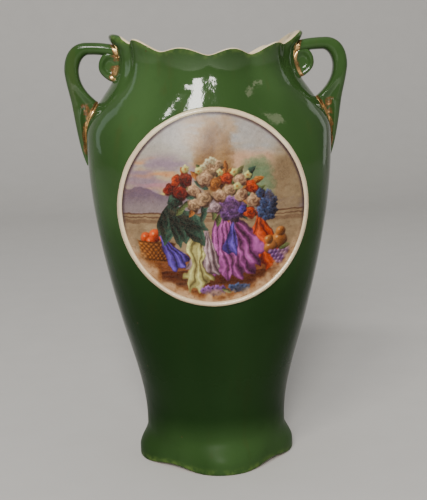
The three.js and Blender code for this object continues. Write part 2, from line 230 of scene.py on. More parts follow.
def rim_fall(angle):
    side = np.abs(np.sin(np.radians(angle + level_turn(angle, HEIGHT)))) ** SADDLE_POWER
    crest = CREST_RISE * (1 + CREST_GAIN * np.sin(np.radians(2 * angle)) ** 2)
    sag = RIGHT_SAG * (front_quarter(angle, 1) + front_quarter(180 - angle, 1))
    return SADDLE_DROP * (1 - side) + CREST_RISE + sag - crest * rim_lobe(angle)[0]


def arch_lift(angle):
    pitch = 360 / FOOT_LOBES
    away = np.abs(angle - pitch * np.round(angle / pitch))
    return ARCH_HEIGHT * smooth(away, PAD_HALF_ANGLE, pitch / 2)


def level_height(angle, level):
    above = np.maximum(0, (level - SADDLE_START) / SADDLE_LENGTH)
    return level + arch_lift(angle) * (1 - smooth(level, 0, ARCH_TOP)) - rim_fall(angle) * above ** 2


def section_radius(turned, level, inset):
    power = through(SECTIONS, level)
    across = np.abs(np.sin(np.radians(turned))) / (through(WIDTHS, level) - inset)
    along = np.abs(np.cos(np.radians(turned))) / (through(DEPTHS, level) - inset)
    return 1 / (across ** power + along ** power) ** (1 / power)


def flute_share(level):
    return np.maximum(0, (level - FLUTE_START) / FLUTE_LENGTH) ** 2


def lobe_reach(angle, level):
    foot_bulge = (1 + np.cos(np.radians(FOOT_LOBES * angle))) / 2
    bulge, reach, _ = rim_lobe(angle)
    foot = FOOT_REACH * foot_bulge * (1 - smooth(level, FOOT_LOBE_BOTTOM, FOOT_LOBE_TOP))
    return foot + reach * bulge * flute_share(level)


def polar(radius, turned, z):
    return np.stack([radius * np.sin(np.radians(turned)), -radius * np.cos(np.radians(turned)), z], -1)


def on_wall(angle, level, inset):
    angle, level, inset = np.broadcast_arrays(*(np.asarray(item, float) for item in (angle, level, inset)))
    turned = angle + level_turn(angle, level)
    radius = section_radius(turned, level, inset) + lobe_reach(angle, level)
    return polar(radius, turned, level_height(angle, level))


def on_floor(angle, level, inset, z, share=1.0):
    turned = angle + level_turn(angle, level)
    radius = section_radius(turned, np.full(angle.shape, float(level)), inset) * share
    return polar(radius, turned, np.broadcast_to(z, angle.shape))


def wall_at(angle, level):
    plain = BODY_WALL + (RIM_WALL - BODY_WALL) * smooth(level, BELLY_HEIGHT, HEIGHT)
    return plain + rim_lobe(angle)[2] * flute_share(level)


def wall_gap(points):
    """How far points stand outside the body's outer wall, along the radius."""
    x, y, z = points[..., 0], points[..., 1], points[..., 2]
    turned = np.degrees(np.arctan2(x, -y))
    level = z.copy()
    angle = turned.copy()
    for _ in range(6):
        angle = turned - level_turn(angle, level)
        level = np.clip(level + z - level_height(angle, level), 0, HEIGHT)
    return np.hypot(x, y) - section_radius(turned, level, 0) - lobe_reach(angle, level)


def front_depth(x, z):
    """How far in front of the axis the outer wall stands at a place across and a height."""
    x, z = np.broadcast_arrays(np.asarray(x, float), np.asarray(z, float))
    level = z.copy()
    for _ in range(6):
        power = through(SECTIONS, level)
        share = np.clip(1 - (np.abs(x) / through(WIDTHS, level)) ** power, 0, None)
        depth = through(DEPTHS, level) * share ** (1 / power)
        angle = np.degrees(np.arctan2(x, depth)) - level_turn(np.degrees(np.arctan2(x, depth)), level)
        level = level + z - level_height(angle, level)
    return depth


def mesh_object(name, points, faces, finish):
    """A smooth mesh object in metres, with a colour attribute that tells the material its finish; on the
    bead it also carries painted shade.
    """
    mesh = bpy.data.meshes.new(name)
    placed = (np.asarray(points) + (0, SET_BACK, 0)) * MM
    mesh.from_pydata(placed.tolist(), [], faces)
    mesh.validate()
    mesh.shade_smooth()
    layer = mesh.color_attributes.new("finish", "FLOAT_COLOR", "POINT")
    colours = np.ones((len(placed), 4))
    colours[:, :3] = finish
    layer.data.foreach_set("color", colours.ravel())
    piece = bpy.data.objects.new(name, mesh)
    bpy.context.scene.collection.objects.link(piece)
    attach(piece, "root")
    return piece


def add_gilt(piece, gilt):
    """An attribute that tells the glaze where it is gilded."""
    layer = piece.data.attributes.new("gilt", "FLOAT", "POINT")
    layer.data.foreach_set("value", gilt)


def closed_faces(rows, count):
    """Faces of a closed surface: a first pole, rows of rings and a last pole."""
    side = np.arange(count)
    after = (side + 1) % count
    faces = [(0, 1 + b, 1 + a) for a, b in zip(side, after)]
    for row in range(rows - 1):
        here = 1 + row * count
        faces += list(zip(here + side, here + after, here + count + after, here + count + side))
    top = 1 + (rows - 1) * count
    last = rows * count + 1
    faces += [(last, top + a, top + b) for a, b in zip(side, after)]
    return [tuple(int(corner) for corner in face) for face in faces]


# Soft random fields, for paint and for wear that follows no repeat
LATTICE = 64
LATTICE_START = 1000


def cloud(x, z, cell, seed):
    lattice = np.random.default_rng(seed).random((LATTICE, LATTICE))
    u, v = x / cell + LATTICE_START, z / cell + LATTICE_START
    column, row = np.floor(u).astype(int), np.floor(v).astype(int)
    s, t = smooth(u - column, 0, 1), smooth(v - row, 0, 1)

    def corner(i, j):
        return lattice[(column + i) % LATTICE, (row + j) % LATTICE]

    low = corner(0, 0) * (1 - s) + corner(1, 0) * s
    high = corner(0, 1) * (1 - s) + corner(1, 1) * s
    return low * (1 - t) + high * t


def clouds(x, z, cell, seed):
    fine = 0.3 * cloud(x, z, cell / 2.1, seed + 1) + 0.15 * cloud(x, z, cell / 4.3, seed + 2)
    return 0.55 * cloud(x, z, cell, seed) + fine


# The hollow body; its finish says where the glaze is cream or thin and where the clay is bare
def make_body():
    angle = np.arange(COLUMNS) * 360 / COLUMNS
    top = HEIGHT - LIP_CLEAR
    corner = rim_lobe(angle)[2] / (CORNER_WALL - RIM_WALL)
    rounding = LIP_ROUND + CORNER_ROLL * rim_lobe(angle)[2]
    rings, finish = [], []

    def rolled(points, level, share=1.0):
        """The corner lobes' lip is rolled outwards, in full where share is 1."""
        push = CORNER_PUSH * corner * share * smooth(level, top - ROLL_DEPTH, top - ROLL_FULL)
        swell = 1 + push / np.hypot(points[:, 0], points[:, 1])
        return points * np.stack([swell, swell, np.ones(len(angle))], -1)

    def add(points, cream=0.0, bare=0.0, thin=0.0):
        rings.append(points)
        finish.append(np.stack([np.broadcast_to(item, angle.shape) for item in (cream, thin, bare)], -1))

    ring_foot = arch_lift(angle)
    for share in (0.15, 0.4, 0.7, 0.92):
        add(on_floor(angle, 0, FOOT_RING + RECESS_CORNER, RECESS_HEIGHT, share), cream=0.6)
    for turn in np.linspace(0, math.pi / 2, 5):
        inset = FOOT_RING + RECESS_CORNER * (1 - math.sin(turn))
        add(on_floor(angle, 0, inset, RECESS_HEIGHT - RECESS_CORNER * (1 - math.cos(turn))), cream=0.6)
    add(on_floor(angle, 0, FOOT_RING, ring_foot + RING_EDGE_RISE), cream=0.4, bare=0.5)
    add(on_floor(angle, 0, FOOT_RING - RING_EDGE, ring_foot), bare=1)
    for turn in np.linspace(0, math.pi / 2, 7):
        inset = FOOT_EDGE * (1 - math.sin(turn))
        level = FOOT_EDGE * (1 - math.cos(turn))
        add(on_wall(angle, level, inset), bare=1 - smooth(turn, 0.1, 0.9), thin=1)
    for level in np.linspace(FOOT_EDGE, FOOT_LOBE_TOP, FOOT_ROWS + 1)[1:]:
        add(on_wall(angle, level, 0), thin=1 - smooth(level, FOOT_EDGE, 5))
    for level in np.linspace(FOOT_LOBE_TOP, SADDLE_START, BODY_ROWS + 1)[1:]:
        add(on_wall(angle, level, 0))
    for share in np.linspace(0, 1, SHOULDER_ROWS + 1)[1:]:
        level = lerp(SADDLE_START, top - rounding, share)
        add(rolled(on_wall(angle, level, 0), level), thin=smooth(level, HEIGHT - 6, HEIGHT - 1.5))
    cream_start = CREAM_START + corner * np.where(angle > 180, CREAM_LATER_LEFT, CREAM_LATER_RIGHT)
    for turn in np.linspace(0, math.pi, LIP_ROWS + 1)[1:-1]:
        level = top - rounding * (1 - math.sin(turn))
        across = (1 - math.cos(turn)) / 2
        lip = rolled(on_wall(angle, level, wall_at(angle, level) * across), level, 1 - across)
        add(lip, cream=smooth(turn, cream_start, cream_start + CREAM_FADE), thin=1)
    inner = [lerp(top - rounding, FLUTE_START, share) for share in np.linspace(0, 1, INNER_LIP_ROWS + 1)]
    inner += list(np.linspace(FLUTE_START, SADDLE_START, INNER_SHOULDER_ROWS + 1)[1:])
    inner += list(np.linspace(SADDLE_START, FLOOR_HEIGHT + FLOOR_CORNER, INNER_ROWS + 1)[1:])
    for level in inner:
        add(on_wall(angle, level, wall_at(angle, level)), cream=1)
    for turn in np.linspace(0, math.pi / 2, 6)[1:]:
        inset = BODY_WALL + FLOOR_CORNER * (1 - math.cos(turn))
        height = FLOOR_HEIGHT + FLOOR_CORNER * (1 - math.sin(turn))
        add(on_floor(angle, FLOOR_HEIGHT + FLOOR_CORNER, inset, height), cream=1)
    for share in (0.85, 0.6, 0.3):
        inset = BODY_WALL + FLOOR_CORNER
        add(on_floor(angle, FLOOR_HEIGHT + FLOOR_CORNER, inset, FLOOR_HEIGHT, share), cream=1)

    points = np.concatenate([[(0, 0, RECESS_HEIGHT)], *rings, [(0, 0, FLOOR_HEIGHT)]])
    values = np.concatenate([[(0.6, 0, 0)], *finish, [(1, 0, 0)]])
    body = mesh_object("vase_body", points, closed_faces(len(rings), COLUMNS), values)
    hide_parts("vase")
    return body


def bezier(places, t):
    p = np.asarray(places, float)[:, None, :]
    t = np.asarray(t, float)[:, None]
    return (1 - t) ** 3 * p[0] + 3 * (1 - t) ** 2 * t * p[1] + 3 * (1 - t) * t * t * p[2] + t ** 3 * p[3]


def chain(places, share):
    """Points along stretches of four places each, which follow each other and share their ends."""
    stretches = [places[first:first + 4] for first in range(0, len(places) - 1, 3)]
    return np.concatenate([bezier(four, share)[(index > 0):] for index, four in enumerate(stretches)])


def strap_rails():
    """Outer and inner edge of a strap seen from the front: bar, bend, upright and tail."""
    root = NECK_HALF_WIDTH + STRAP_ROOT_TOP
    inner_root = NECK_HALF_WIDTH + STRAP_ROOT_UNDER
    bar_under = HANDLE_TOP - BAR_THICKNESS
    bend_x = HANDLE_REACH - HANDLE_BEND
    inner_bend_x = bend_x - 0.2 * HANDLE_BEND
    bend_z = HANDLE_TOP - 1.35 * HANDLE_BEND
    inner_reach = HANDLE_REACH - UPRIGHT_THICKNESS
    fan_reach = HANDLE_REACH - FAN_SET_IN
    seam = BELLY_HALF_WIDTH - SEAM_SET_IN
    seam_top = FAN_HEIGHT + SEAM_RISE
    tail_out = BELLY_HALF_WIDTH + TAIL_STAND
    tail_in = BELLY_HALF_WIDTH - TAIL_ROOT
    outer = [
        (root, HANDLE_TOP - BAR_SAG),
        (lerp(root, bend_x, 0.33), HANDLE_TOP - 0.1 * BAR_SAG),
        (lerp(root, bend_x, 0.66), HANDLE_TOP),
        (bend_x, HANDLE_TOP),
        (bend_x + 0.7 * HANDLE_BEND, HANDLE_TOP - 0.06 * HANDLE_BEND),
        (HANDLE_REACH, bend_z + 0.7 * HANDLE_BEND),
        (HANDLE_REACH, bend_z),
        (lerp(HANDLE_REACH, fan_reach, 0.2), lerp(bend_z, FAN_HEIGHT, 0.38)),
        (lerp(HANDLE_REACH, fan_reach, 0.76), lerp(bend_z, FAN_HEIGHT, 0.7)),
        (fan_reach, FAN_HEIGHT),
        (fan_reach - 0.5 * FAN_SET_IN, lerp(FAN_HEIGHT, TAIL_HEIGHT, 0.37)),
        (tail_out + FAN_SET_IN, lerp(FAN_HEIGHT, TAIL_HEIGHT, 0.75)),
        (tail_out, TAIL_HEIGHT),
    ]
    inner = [
        (inner_root, bar_under - BAR_SAG),
        (lerp(inner_root, inner_bend_x, 0.33), bar_under - 0.3 * BAR_SAG),
        (lerp(inner_root, inner_bend_x, 0.66), bar_under),
        (inner_bend_x, bar_under),
        (inner_bend_x + 0.26 * HANDLE_BEND, bar_under),
        (inner_reach, bend_z + 0.4 * HANDLE_BEND),
        (inner_reach, bend_z),
        (inner_reach, lerp(bend_z, seam_top, 0.42)),
        (lerp(inner_reach, seam, 0.44), lerp(bend_z, seam_top, 0.74)),
        (seam, seam_top),
        (lerp(seam, tail_in, 0.75), lerp(seam_top, TAIL_HEIGHT, 0.33)),
        (tail_in, lerp(seam_top, TAIL_HEIGHT, 0.68)),
        (tail_in, TAIL_HEIGHT),
    ]
    share = np.linspace(0, 1, STRAP_STEPS + 1)
    along = np.concatenate([share[(index > 0):] + index for index in range(len(outer) // 3)])
    return chain(outer, share), chain(inner, share), along


def signed_power(value, power):
    return np.sign(value) * np.abs(value) ** power


def make_strap(side, name):
    """One strap handle with a hollow between its two ridges, gilded where it meets the body."""
    edge, back, along = strap_rails()
    turn = 2 * np.pi * np.arange(STRAP_SIDES) / STRAP_SIDES
    across = signed_power(np.cos(turn), STRAP_FULLNESS)[None, :]
    front = signed_power(np.sin(turn), STRAP_FULLNESS)[None, :]
    half_depth = lerp(STRAP_HALF_DEPTH, TAIL_HALF_DEPTH, smooth(along, 3, 4))[:, None]
    opened = smooth(along, GROOVE_OPENS, GROOVE_FULL) * (1 - smooth(along, GROOVE_CLOSES, 4))
    groove = (GROOVE_DEPTH * opened)[:, None]
    valley = np.cos(np.pi / 2 * np.clip(np.abs(across + 0.1) / 0.62, 0, 1)) ** 2
    middle = ((edge + back) / 2)[:, None, :]
    half = ((edge - back) / 2)[:, None, :]
    flat = middle + half * across[..., None]
    depth = half_depth * front - groove * np.sign(front) * valley
    points = np.stack([side * flat[..., 0], depth, flat[..., 1]], -1)
    centre = np.stack([side * middle[:, 0, 0], np.zeros(len(edge)), middle[:, 0, 1]], -1)
    gap = wall_gap(points)
    speckle = clouds(points[..., 0] + points[..., 1], points[..., 2], 3.0, 5 if side > 0 else 9)
    place = np.broadcast_to(along[:, None], gap.shape)
    band = (1 - smooth(gap, 0.9, 2.6 + 1.6 * speckle)) * (1 - smooth(place, 0.5, 0.8))
    tail = smooth(place, 2.7, 3.0) * (1 - smooth(place, SEAM_CLOSES, 3.85))
    seam = (1 - smooth(gap, 0.7, 1.6 + 2.2 * speckle)) * tail
    hollow = valley * smooth(place, 2.9, 3.04) * (1 - smooth(place, 3.15, 3.5)) * smooth(speckle, 0.25, 0.75)
    gilt = np.clip(band + seam + 0.75 * hollow, 0, 1)
    thin = np.broadcast_to(0.5 * np.abs(across) ** 6, gap.shape)
    plain = np.zeros(gap.shape)
    finish = np.stack([plain, thin, plain], -1).reshape(-1, 3)
    loops = points if side < 0 else points[:, ::-1]
    tint = gilt if side < 0 else gilt[:, ::-1]
    faces = closed_faces(len(edge), STRAP_SIDES)
    stacked = np.concatenate([centre[:1], loops.reshape(-1, 3), centre[-1:]])
    values = np.concatenate([[(0, 0, 0)], finish, [(0, 0, 0)]])
    strap = mesh_object(name, stacked, faces, values)
    add_gilt(strap, np.concatenate([[0], tint.ravel(), [0]]))
    return strap, points, gap, along


def drop_outline(count):
    """A leaf drop, 1 wide and 1 high to each side of its middle, drawn to a blunt point at the bottom."""
    turn = 2 * np.pi * np.arange(count) / count
    x = np.cos(turn)
    z = np.sin(turn)
    low = np.clip(-z, 0, 1)
    return np.stack([x * (1 - 0.42 * low ** 2.4) - 0.12 * low ** 2, z], -1)


def make_scroll(side, name):
    """The leaf scroll: a drop with a raised rim round a dished face, alike at the front and back."""
    outline = drop_outline(SCROLL_POINTS)
    rounding = np.linspace(0.2, math.pi / 2, 6)
    shares = np.concatenate([np.linspace(0.12, 0.9, 14), 0.9 + 0.1 * np.sin(rounding)])
    middle_z = SCROLL_TOP - SCROLL_LENGTH / 2
    centre_x = NECK_HALF_WIDTH + SCROLL_SET_OUT
    scale = np.array([SCROLL_HALF_WIDTH, SCROLL_LENGTH / 2])

    def ring(share, face):
        rim = np.sqrt(np.clip(1 - ((share - 0.8) / 0.2) ** 2, 0, 1)) if share > 0.8 else 1.0
        dish = SCROLL_DISH * (1 - smooth(share, 0.35, 0.78))
        depth = SCROLL_HALF_DEPTH - SCROLL_RIM + (SCROLL_RIM * rim - dish if share < 0.999 else 0)
        flat = outline * share * scale
        x = side * (centre_x + flat[:, 0])
        return np.stack([x, np.full(SCROLL_POINTS, face * depth), middle_z + flat[:, 1]], -1)

    rings = [ring(share, -1) for share in shares] + [ring(share, 1) for share in shares[::-1]]
    rings = [loop if side > 0 else loop[::-1] for loop in rings]
    pole = (side * centre_x, SCROLL_HALF_DEPTH - SCROLL_DISH, middle_z)
    points = np.concatenate([[(pole[0], -pole[1], pole[2])], *rings, [pole]])
    faces = [tuple(reversed(face)) for face in closed_faces(len(rings), SCROLL_POINTS)]
    scroll = mesh_object(name, points, faces, np.zeros((len(points), 3)))
    speckle = clouds(points[:, 0], points[:, 2], 2.5, 31 if side > 0 else 37)
    reach, strength = (3.0, 1.0) if side > 0 else (8.0, 0.62)
    near = 1 - smooth(wall_gap(points), 0.4, 1.2 + reach * speckle)
    add_gilt(scroll, strength * near * smooth(speckle, 0.15, 0.5))
    return scroll


def swept_tube(path, radii):
    """A tapering tube along points, closed at both ends."""
    path = np.asarray(path, float)
    forward = np.gradient(path, axis=0)
    forward /= np.linalg.norm(forward, axis=1, keepdims=True)
    aside = np.cross(forward, (0, 1, 0))
    aside /= np.linalg.norm(aside, axis=1, keepdims=True)
    other = np.cross(aside, forward)
    turn = 2 * np.pi * np.arange(SEAM_SIDES) / SEAM_SIDES
    loop = np.cos(turn)[None, :, None] * aside[:, None] + np.sin(turn)[None, :, None] * other[:, None]
    points = path[:, None] + loop * np.asarray(radii)[:, None, None]
    return np.concatenate([path[:1], points.reshape(-1, 3), path[-1:]]), closed_faces(len(path), SEAM_SIDES)


def soften(path):
    path = path.copy()
    for _ in range(SEAM_SOFTENINGS):
        path[1:-1] = (path[:-2] + 2 * path[1:-1] + path[2:]) / 4
    return path


def make_gilt_seam(name, points, gap, along):
    """A thin raised and gilded ridge where the front of the strap's fan meets the body."""
    path = []
    for row in np.flatnonzero((along > SEAM_OPENS) & (along < SEAM_CLOSES)):
        front = np.flatnonzero(points[row, :, 1] < -0.3)
        crossing = front[np.argmin(np.abs(gap[row, front] - 0.15))]
        path.append(points[row, crossing])
    path = soften(np.array(path))
    share = np.linspace(0, 1, len(path))
    radii = SEAM_END_RADIUS + SEAM_RADIUS * np.sin(np.pi * share ** 0.7) ** 0.8
    seam_points, faces = swept_tube(path, radii)
    seam = mesh_object(name, seam_points, faces, np.zeros((len(seam_points), 3)))
    return seam


def make_medallion_bead():
    """The rounded bead round the painted field."""
    turn = 2 * np.pi * np.arange(BEAD_COLUMNS) / BEAD_COLUMNS
    uneven = 0.25 * (clouds(np.cos(turn) * 9, np.sin(turn) * 9, 2.2, 51) - 0.5)
    flat = np.zeros(BEAD_COLUMNS)
    rows, finish = [], []
    for across in np.linspace(0, 1, BEAD_ROWS + 1):
        rise = math.sin(math.pi * across) ** 0.7 if 0 < across < 1 else 0
        stand = lerp(FIELD_STAND * (1 - across), BEAD_STAND, rise) - (0 if 0 < across < 1 else BEAD_TUCK)
        inward = BEAD_WIDTH * (1 - across) - uneven * (1 if across > 0.5 else 0.4)
        x = (MEDALLION_HALF_WIDTH - inward) * np.cos(turn) - MEDALLION_SET_LEFT
        z = (MEDALLION_HALF_HEIGHT - inward) * np.sin(turn) + MEDALLION_HEIGHT
        rows.append(np.stack([x, -front_depth(x, z) - stand, z], -1))
        # Across the bead in red, and painted shade in green, darker towards the bead's bottom
        finish.append(np.stack([flat + across, 0.5 - 0.5 * np.sin(turn), flat], -1))
    rows += [rows[-1] + (0, BEAD_ROOT, 0), rows[0] + (0, BEAD_ROOT, 0)]
    finish += [finish[-1], finish[0]]
    faces = []
    total, count = len(rows), BEAD_COLUMNS
    for row in range(total):
        here, there = row * count, ((row + 1) % total) * count
        for a in range(count):
            b = (a + 1) % count
            faces.append((here + a, there + a, there + b, here + b))
    bead = mesh_object("medallion_bead", np.concatenate(rows), faces, np.concatenate(finish))
    return bead


# Paint for the medallion: every colour is an sRGB triple from 0 to 255
# The field is a unit disc, and its picture a still life of flowers, fruit and cloths under an evening sky
INK = (84, 54, 46)
MAROON = (134, 50, 36)
TEAL = (66, 92, 78)
STRAW = (216, 194, 126)
PURPLE = (162, 92, 148)
VIOLET = (104, 84, 168)
PEARL = (182, 158, 160)
ORANGE = (196, 84, 36)
BLUE = (78, 92, 124)
PEACH = (214, 164, 130)
IVORY = (194, 162, 126)
LILAC = (118, 84, 132)
LEAF = (98, 112, 72)
WICKER = (168, 112, 58)


class Canvas:
    """What has been painted so far; the brush follows a slightly wavering hand."""

    def __init__(self, x, z):
        self.plain_x, self.plain_z = x, z
        self.x = x + 0.034 * (clouds(x, z, 0.17, 91) - 0.5) + 0.012 * (cloud(x, z, 0.034, 93) - 0.5)
        self.z = z + 0.034 * (clouds(x, z, 0.17, 95) - 0.5) + 0.012 * (cloud(x, z, 0.034, 97) - 0.5)
        self.colour = np.zeros((len(x), 3))

    def lay(self, mask, colour, opacity=1.0):
        share = np.clip(mask * opacity, 0, 1)[:, None]
        self.colour = self.colour * (1 - share) + np.asarray(colour, float) * share

    def local(self, x, z, half_width, half_height, turn=0.0):
        c, s = math.cos(math.radians(turn)), math.sin(math.radians(turn))
        dx, dz = self.x - x, self.z - z
        return (dx * c + dz * s) / half_width, (-dx * s + dz * c) / half_height

    def inside(self, distance, size):
        """A mask that is 1 where distance is under 1, with an edge one fine brush stroke wide."""
        edge = 0.009 / size
        return 1 - smooth(distance, 1 - edge, 1 + edge)


def mix(low, high, share):
    return np.asarray(low, float) * (1 - share[:, None]) + np.asarray(high, float) * share[:, None]


def tone(colour, light):
    """A colour between its shade, at 0, and its light, at 1."""
    colour = np.asarray(colour, float)
    return mix(colour * 0.38 + (8, 2, 6), np.minimum(colour * 1.16 + 18, 242), np.clip(light, 0, 1))


def paint_leaf(canvas, x, z, size, turn, colour):
    u, v = canvas.local(x, z, size, size * 0.36, turn)
    distance = np.abs(v) + u * u
    mask = canvas.inside(distance, size)
    canvas.lay(mask, tone(colour, 0.55 + 0.4 * v + 0.12 * np.cos(13 * (u + np.abs(v) * 0.7))))
    canvas.lay(mask * (1 - smooth(np.abs(v), 0.04, 0.14)), np.asarray(colour) * 1.3, 0.4)


def paint_rose(canvas, x, z, size, colour):
    u, v = canvas.local(x, z, size, size * 0.9, 40 * math.sin(90 * x))
    radius = np.hypot(u, v)
    angle = np.arctan2(v, u)
    scallop = 1 + 0.1 * np.cos(5 * angle + x * 40)
    mask = canvas.inside(radius / scallop, size)
    whorl = np.cos(3 * angle + 2.4 * np.sin(7 * radius) + x * 30)
    light = 0.52 + 0.3 * v - 0.24 * u + 0.2 * whorl - 0.26 * smooth(radius, 0.7, 1.0)
    canvas.lay(mask, tone(colour, light))
    canvas.lay(mask * (1 - smooth(radius, 0.06, 0.4)), np.asarray(colour) * 0.5, 0.6)
    canvas.lay(mask * smooth(whorl, 0.86, 1.0) * smooth(radius, 0.15, 0.3), np.asarray(colour) * 0.45, 0.45)


def paint_blossom(canvas, x, z, size, colour, heart):
    u, v = canvas.local(x, z, size, size)
    radius = np.hypot(u, v)
    angle = np.arctan2(v, u) + x * 31
    petal = 0.66 + 0.34 * np.abs(np.cos(2.5 * angle)) ** 0.6
    mask = canvas.inside(radius / petal, size)
    canvas.lay(mask, tone(colour, 0.62 + 0.3 * v - 0.2 * u + 0.12 * np.cos(10 * angle)))
    canvas.lay(canvas.inside(radius / 0.28, size * 0.28), heart, 0.85)


GOLDEN_TURN = 2.39996


def spread(index, count):
    """A place in the unit disc; the places of all the indices lie evenly over it."""
    reach = math.sqrt((index + 0.5) / count)
    return reach * math.cos(index * GOLDEN_TURN), reach * math.sin(index * GOLDEN_TURN)


def paint_cluster(canvas, x, z, half_width, half_height, colour, count):
    """A loose head of many small blossoms, lighter towards the upper left."""
    for index in range(count):
        u, v = spread(index, count)
        light = 0.92 + 0.22 * (v - u) + 0.16 * math.sin(index * 4.1)
        shade = np.clip(np.asarray(colour) * light, 0, 255)
        paint_blossom(canvas, x + half_width * u, z + half_height * v, 0.036, shade, shade * 0.6)


def paint_ball(canvas, x, z, size, colour):
    u, v = canvas.local(x, z, size, size)
    radius = np.hypot(u, v)
    mask = canvas.inside(radius, size)
    canvas.lay(mask, tone(colour, 0.56 - 0.42 * u + 0.42 * v - 0.15 * smooth(radius, 0.75, 1.0)))
    canvas.lay(mask * (1 - smooth(np.hypot(u + 0.34, v - 0.36), 0.05, 0.3)), (240, 224, 200), 0.5)


def paint_drape(canvas, x, z, reach, lean, spread, colour, folds, seed):
    """A cloth that falls in folds from the place where it is gathered; lean and spread are in degrees."""
    dx, dz = canvas.x - x, canvas.z - z
    distance = np.hypot(dx, dz)
    bend = 26 * (clouds(canvas.x, canvas.z, 0.3, seed) - 0.5) * smooth(distance, 0, 0.4)
    share = (np.degrees(np.arctan2(dx, -dz)) - lean + bend) / spread
    hem = reach * (1 - 0.16 * share ** 2 + 0.045 * np.cos(folds * 3.1 * share + seed))
    side = 1 - smooth(np.abs(share), 1 - 0.7 / spread / np.maximum(distance, 0.05), 1)
    mask = side * (1 - smooth(distance, hem - 0.012, hem))
    uneven = 2.4 * (clouds(canvas.x, canvas.z, 0.26, seed + 7) - 0.5)
    phase = folds * (share + 0.2 * np.sin(2.3 * share + seed)) + uneven
    ridge = 0.5 + 0.5 * np.cos(math.pi * phase)
    cross = clouds(canvas.x, canvas.z, 0.09, seed + 3)
    light = 0.34 + 0.36 * ridge ** 0.8 + 0.9 * (cross - 0.5) - 0.14 * share
    canvas.lay(mask, tone(colour, light))
    fine = np.cos(math.pi * (2.7 * phase + 2 * cross))
    canvas.lay(mask * smooth(fine, 0.86, 1.0) * smooth(cross, 0.35, 0.6), np.asarray(colour) * 0.5, 0.4)
    crease = (1 - smooth(ridge, 0.0, 0.10)) * smooth(cross, 0.2, 0.5)
    canvas.lay(mask * crease, np.asarray(colour) * 0.36, 0.45)
    canvas.lay(mask * smooth(ridge, 0.9, 1.0), np.minimum(np.asarray(colour) * 1.26 + 22, 240), 0.35)
    canvas.lay(mask * smooth(distance, hem - 0.026, hem - 0.014), np.asarray(colour) * 0.55, 0.45)


def paint_sky(canvas):
    x, z = canvas.plain_x, canvas.plain_z
    canvas.colour = mix((196, 182, 154), (176, 172, 168), smooth(z, 0.15, 0.85))
    streaks = [
        (0.00, 0.80, 0.30, 0.46, (176, 148, 116), 0.80),
        (-0.50, 0.34, 0.50, 0.22, (156, 136, 152), 0.85),
        (-0.58, 0.44, 0.34, 0.10, (216, 158, 116), 0.85),
        (-0.62, 0.28, 0.34, 0.07, (190, 142, 150), 0.80),
        (-0.72, 0.18, 0.30, 0.06, (216, 198, 118), 0.90),
        (-0.60, 0.62, 0.40, 0.12, (190, 186, 180), 0.60),
        (0.42, 0.50, 0.26, 0.12, (206, 166, 136), 0.75),
        (0.50, 0.72, 0.40, 0.14, (170, 174, 178), 0.60),
        (0.82, 0.20, 0.24, 0.50, (148, 130, 108), 0.75),
    ]
    for seed, (middle_x, middle_z, half_width, half_height, colour, opacity) in enumerate(streaks):
        drift = smooth(clouds(x * 0.6 + z * 0.2, z * 2.2, 0.2, 3 + 5 * seed), 0.34, 0.62)
        near = np.exp(-((x - middle_x) / half_width) ** 2 - ((z - middle_z) / half_height) ** 2)
        canvas.lay(drift * smooth(near, 0.12, 0.6), colour, opacity)


def paint_tree(canvas, x, z, half_width, half_height, shade, light, count):
    """The soft round head of a tree, built up from dabs."""
    ragged = 0.6 * (clouds(canvas.x, canvas.z, 0.025, 33) - 0.5)
    for index in range(count):
        u, v = spread(index, count)
        u, v = canvas.local(x + half_width * u, z + half_height * v, 0.075, 0.06)
        lit = np.clip(0.5 + 0.5 * v - 0.3 * u, 0, 1)
        canvas.lay(canvas.inside(np.hypot(u, v) + ragged, 0.03), mix(shade, light, lit), 0.4)


def paint_country(canvas):
    """Far hills, soft trees and a low garden wall behind the still life."""
    x, z = canvas.x, canvas.z
    far = 0.08 + 0.16 * clouds(x, np.zeros(len(x)), 0.4, 21) - 0.1 * x
    hill = mix((150, 136, 140), (122, 106, 122), smooth(z, 0.0, 0.2))
    canvas.lay(1 - smooth(z - far, -0.01, 0.01), hill, 0.9)
    paint_tree(canvas, 0.80, 0.22, 0.20, 0.34, (128, 110, 90), (172, 152, 124), 70)
    paint_tree(canvas, 0.46, 0.28, 0.16, 0.24, (96, 116, 92), (146, 160, 128), 40)
    paint_tree(canvas, 0.00, 0.52, 0.17, 0.34, (126, 96, 66), (186, 156, 116), 110)
    stone = clouds(x * 1.4, z * 3, 0.11, 41)
    canvas.lay(1 - smooth(z + 0.03, -0.006, 0.006), mix((140, 120, 98), (176, 156, 128), stone))
    for middle, half, depth in ((-0.035, 0.008, 0.55), (-0.075, 0.006, 0.5), (-0.12, 0.02, 0.25)):
        canvas.lay(1 - smooth(np.abs(z - middle), half * 0.6, half * 1.4), INK, depth)


STEP_TOP = -0.56
STEP_EDGE = -0.66
STEP_FOOT = -0.80


def paint_ground(canvas):
    """Brown earth and a low step that the cloths hang over."""
    x, z = canvas.x, canvas.z
    earth = clouds(x * 1.2, z * 4, 0.09, 44)
    canvas.lay(1 - smooth(z + 0.47, -0.02, 0.02), mix((112, 70, 42), (160, 112, 72), earth))
    within = 1 - smooth(np.abs(x - 0.08), 0.66, 0.67)
    front = within * smooth(z, STEP_FOOT, STEP_FOOT + 0.01) * (1 - smooth(z, STEP_TOP, STEP_TOP + 0.01))
    canvas.lay(front, mix((78, 44, 30), (124, 80, 54), earth))
    canvas.lay(front * smooth(z, STEP_EDGE, STEP_EDGE + 0.01), mix((116, 74, 50), (160, 112, 80), earth))
    canvas.lay(within * (1 - smooth(np.abs(z - STEP_EDGE), 0.003, 0.011)), INK, 0.5)
    canvas.lay(within * (1 - smooth(np.abs(z - STEP_FOOT), 0.006, 0.03)), INK, 0.45)


